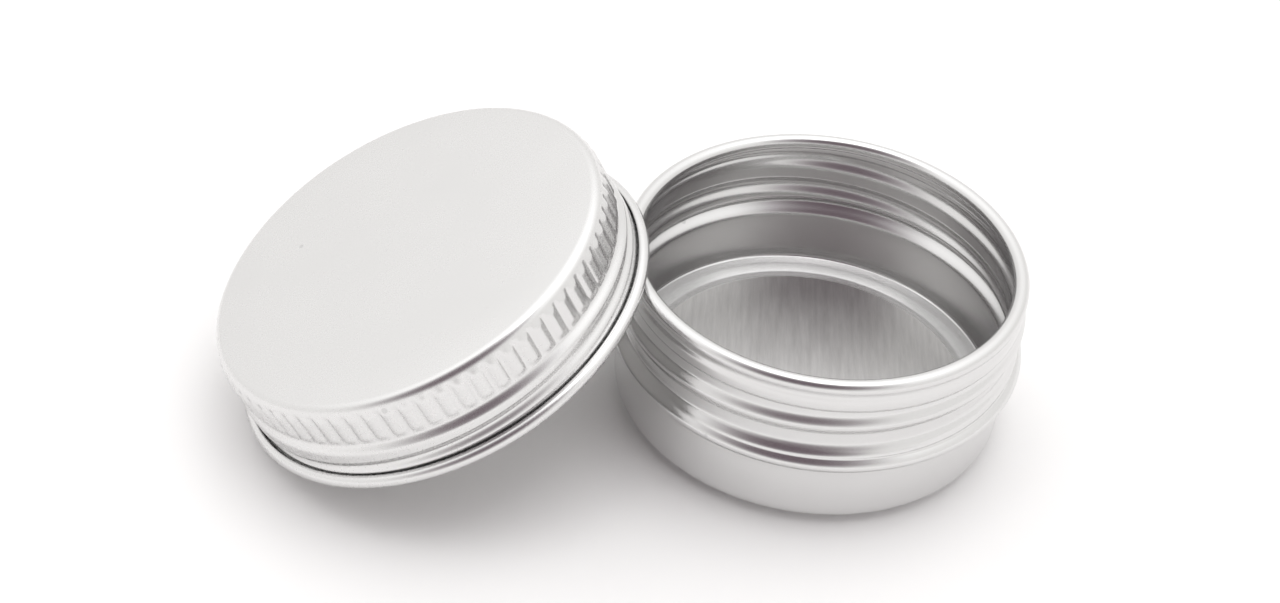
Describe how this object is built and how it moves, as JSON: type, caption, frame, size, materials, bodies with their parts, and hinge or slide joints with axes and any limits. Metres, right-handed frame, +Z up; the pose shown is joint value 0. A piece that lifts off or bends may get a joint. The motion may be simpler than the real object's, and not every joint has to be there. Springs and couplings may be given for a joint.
{
  "type": "screw-top tin",
  "caption": "Small round screw-top tin in plain satin aluminium: an open base with a threaded neck, and its fluted lid, taken off and leaning on the rim.",
  "frame": {"origin": "centre of the base's foot disc, on the table", "axes": "+Z up along the base's axis, +Y away from the viewer, +X to the viewer's right; the lid leans on the -X side"},
  "size_m": [0.0732, 0.0438, 0.0241],
  "materials": {
    "base": "satin, lightly brushed",
    "lid": "satin",
    "liner": "matt foam"
  },
  "bodies": {
    "base": {"base_cup": "base"},
    "lid_carrier": {"lid_liner": "liner"},
    "lid": {"lid_shell": "lid"}
  },
  "joints": [
    {"name": "lid_place", "type": "hinge", "parent": "base", "child": "lid_carrier", "pos_m": [0.00496, 0.02362, -0.05372], "axis": [-0.2338, 0.9314, 0.2789], "range_deg": [0, 26.73]},
    {"name": "lid_turn", "type": "hinge", "parent": "lid_carrier", "child": "lid", "pos_m": [-0.03373, -0.00471, 0.00846], "axis": [-0.4259, -0.0774, 0.9015], "continuous": true}
  ]
}
